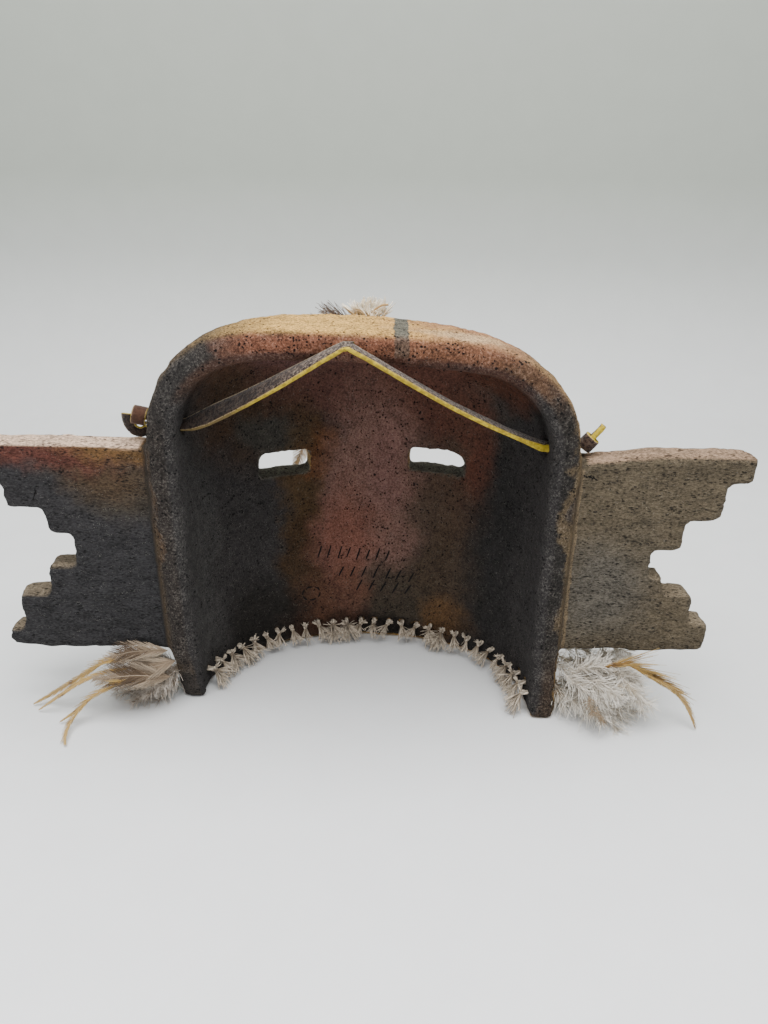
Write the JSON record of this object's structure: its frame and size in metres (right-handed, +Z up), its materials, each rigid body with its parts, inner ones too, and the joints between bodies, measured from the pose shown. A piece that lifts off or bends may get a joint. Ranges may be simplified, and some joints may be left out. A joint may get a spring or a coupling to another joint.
{
  "type": "ceramic mask",
  "caption": "Hollow hand-built ceramic wall mask, U-shaped in plan, with eye slots, stepped ears, a leather hanging lace, cotton ties and feather bunches.",
  "frame": {"origin": "middle of the base of the box round the mask without its lace", "axes": "+Z up, +X across the mask through both ears, towards the side with the curled lace knot, +Y out of the open back, so the face looks towards -Y"},
  "size_m": [0.36, 0.1198, 0.1985],
  "materials": {
    "ceramic": "matte smoked clay",
    "leather": "suede",
    "cotton": "frayed yarn",
    "feather": "soft feather"
  },
  "bodies": {
    "root": {"mask_shell": "ceramic", "hanging_lace": "leather", "lace_knot_left": "leather", "lace_knot_right": "leather", "yarn_tie_01": "cotton", "yarn_tie_02": "cotton", "yarn_tie_03": "cotton", "yarn_tie_04": "cotton", "yarn_tie_05": "cotton", "yarn_tie_06": "cotton", "yarn_tie_07": "cotton", "yarn_tie_08": "cotton", "yarn_tie_09": "cotton", "yarn_tie_10": "cotton", "yarn_tie_11": "cotton", "yarn_tie_12": "cotton", "yarn_tie_13": "cotton", "yarn_tie_14": "cotton", "yarn_tie_15": "cotton", "yarn_tie_16": "cotton", "yarn_tie_17": "cotton", "yarn_tie_18": "cotton", "yarn_tie_19": "cotton", "yarn_tie_20": "cotton", "yarn_tie_21": "cotton", "yarn_tie_22": "cotton", "yarn_tie_23": "cotton", "yarn_tie_24": "cotton", "yarn_tie_25": "cotton", "yarn_tie_26": "cotton", "yarn_tie_27": "cotton", "yarn_tie_28": "cotton", "left_ear_feathers": "feather", "right_ear_feathers": "feather", "brow_feathers": "feather"}
  },
  "joints": []
}
